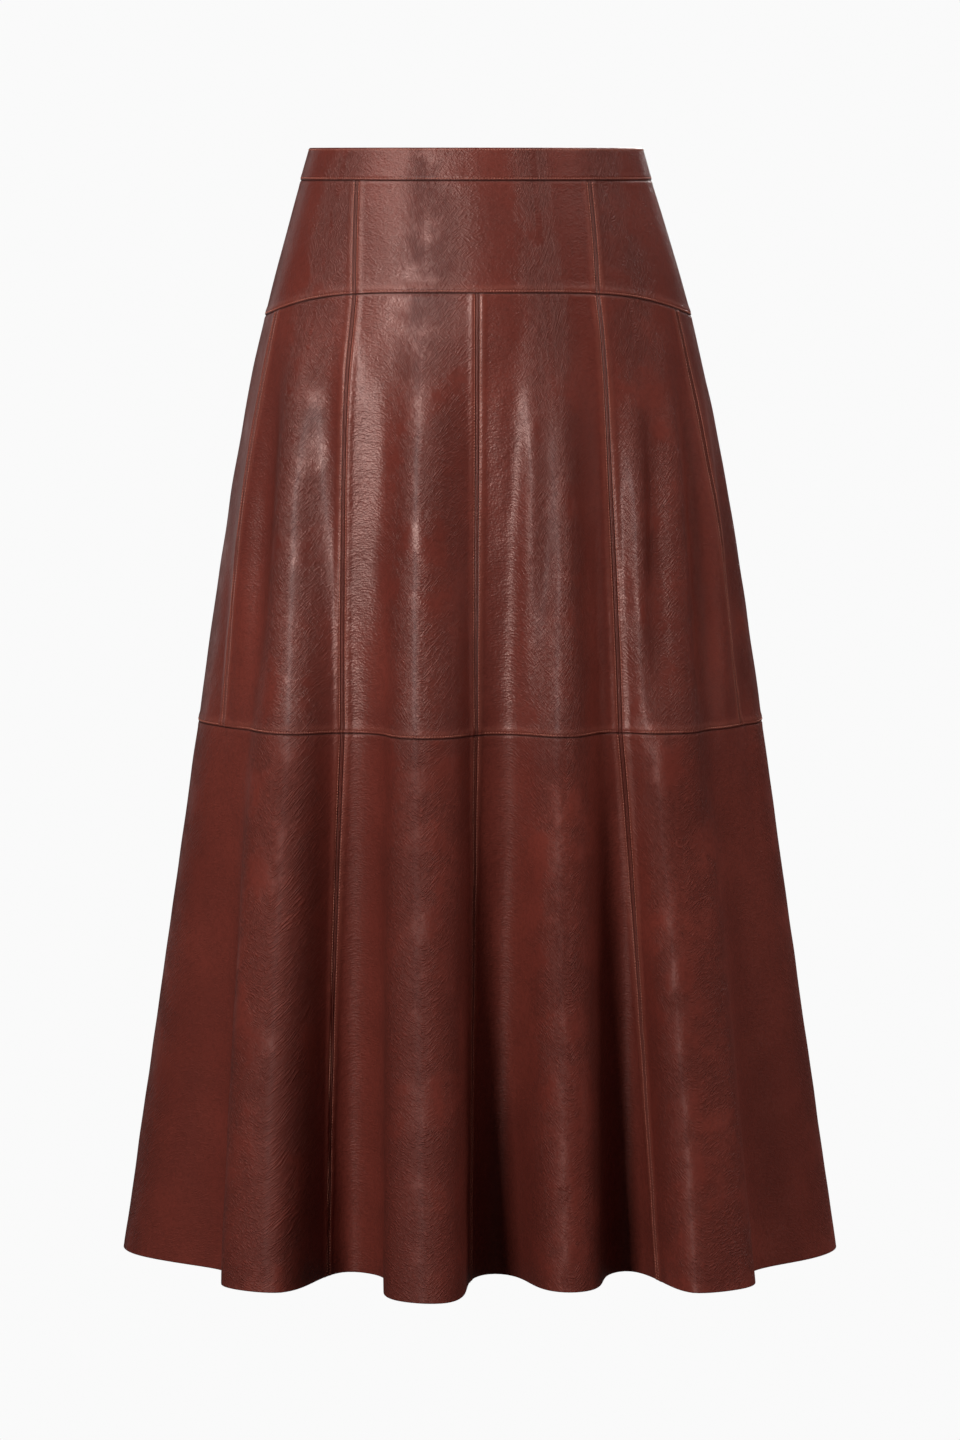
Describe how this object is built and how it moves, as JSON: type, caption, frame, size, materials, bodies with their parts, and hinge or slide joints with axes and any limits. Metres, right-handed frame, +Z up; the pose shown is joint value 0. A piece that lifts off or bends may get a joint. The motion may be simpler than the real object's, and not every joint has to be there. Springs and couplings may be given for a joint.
{
  "type": "leather skirt",
  "caption": "Long A-line leather skirt, held in its worn hollow form: waistband, fitted hip yoke and flared gored tiers with a fluted hem, zipped at the centre back.",
  "frame": {"origin": "centre of the waist, halfway up the waistband, where the wearer's waist holds the skirt", "axes": "+Z up, front facing -Y, +X to the right as seen from the front"},
  "size_m": [0.5419, 0.4478, 0.832],
  "materials": {
    "leather": "semi-gloss reddish brown nappa leather with fine grain and fine wrinkles",
    "thread": "matt reddish brown sewing thread",
    "zip_tape": "dark red-brown woven zip tape",
    "zip_metal": "satin lacquer in the leather's colour"
  },
  "bodies": {
    "skirt": {"waistband": "leather", "yoke_front_centre": "leather", "yoke_side_right": "leather", "yoke_back_right": "leather", "yoke_back_left": "leather", "yoke_side_left": "leather", "middle_front_outer_left": "leather", "middle_front_inner_left": "leather", "middle_front_inner_right": "leather", "middle_front_outer_right": "leather", "middle_side_right": "leather", "middle_back_outer_right": "leather", "middle_back_inner_right": "leather", "middle_back_inner_left": "leather", "middle_back_outer_left": "leather", "middle_side_left": "leather", "lower_front_left": "leather", "lower_front_right": "leather", "lower_side_right": "leather", "lower_back_right": "leather", "lower_back_left": "leather", "lower_side_left": "leather", "zip_tape_right": "zip_tape", "zip_tape_left": "zip_tape", "zip_slider": "zip_metal"},
    "pull": {"zip_pull": "zip_metal"}
  },
  "joints": [
    {"name": "pull_swing", "type": "hinge", "parent": "skirt", "child": "pull", "pos_m": [-0.00002, 0.09813, 0.003], "axis": [1, 0, 0], "range_deg": [0, 160]}
  ]
}
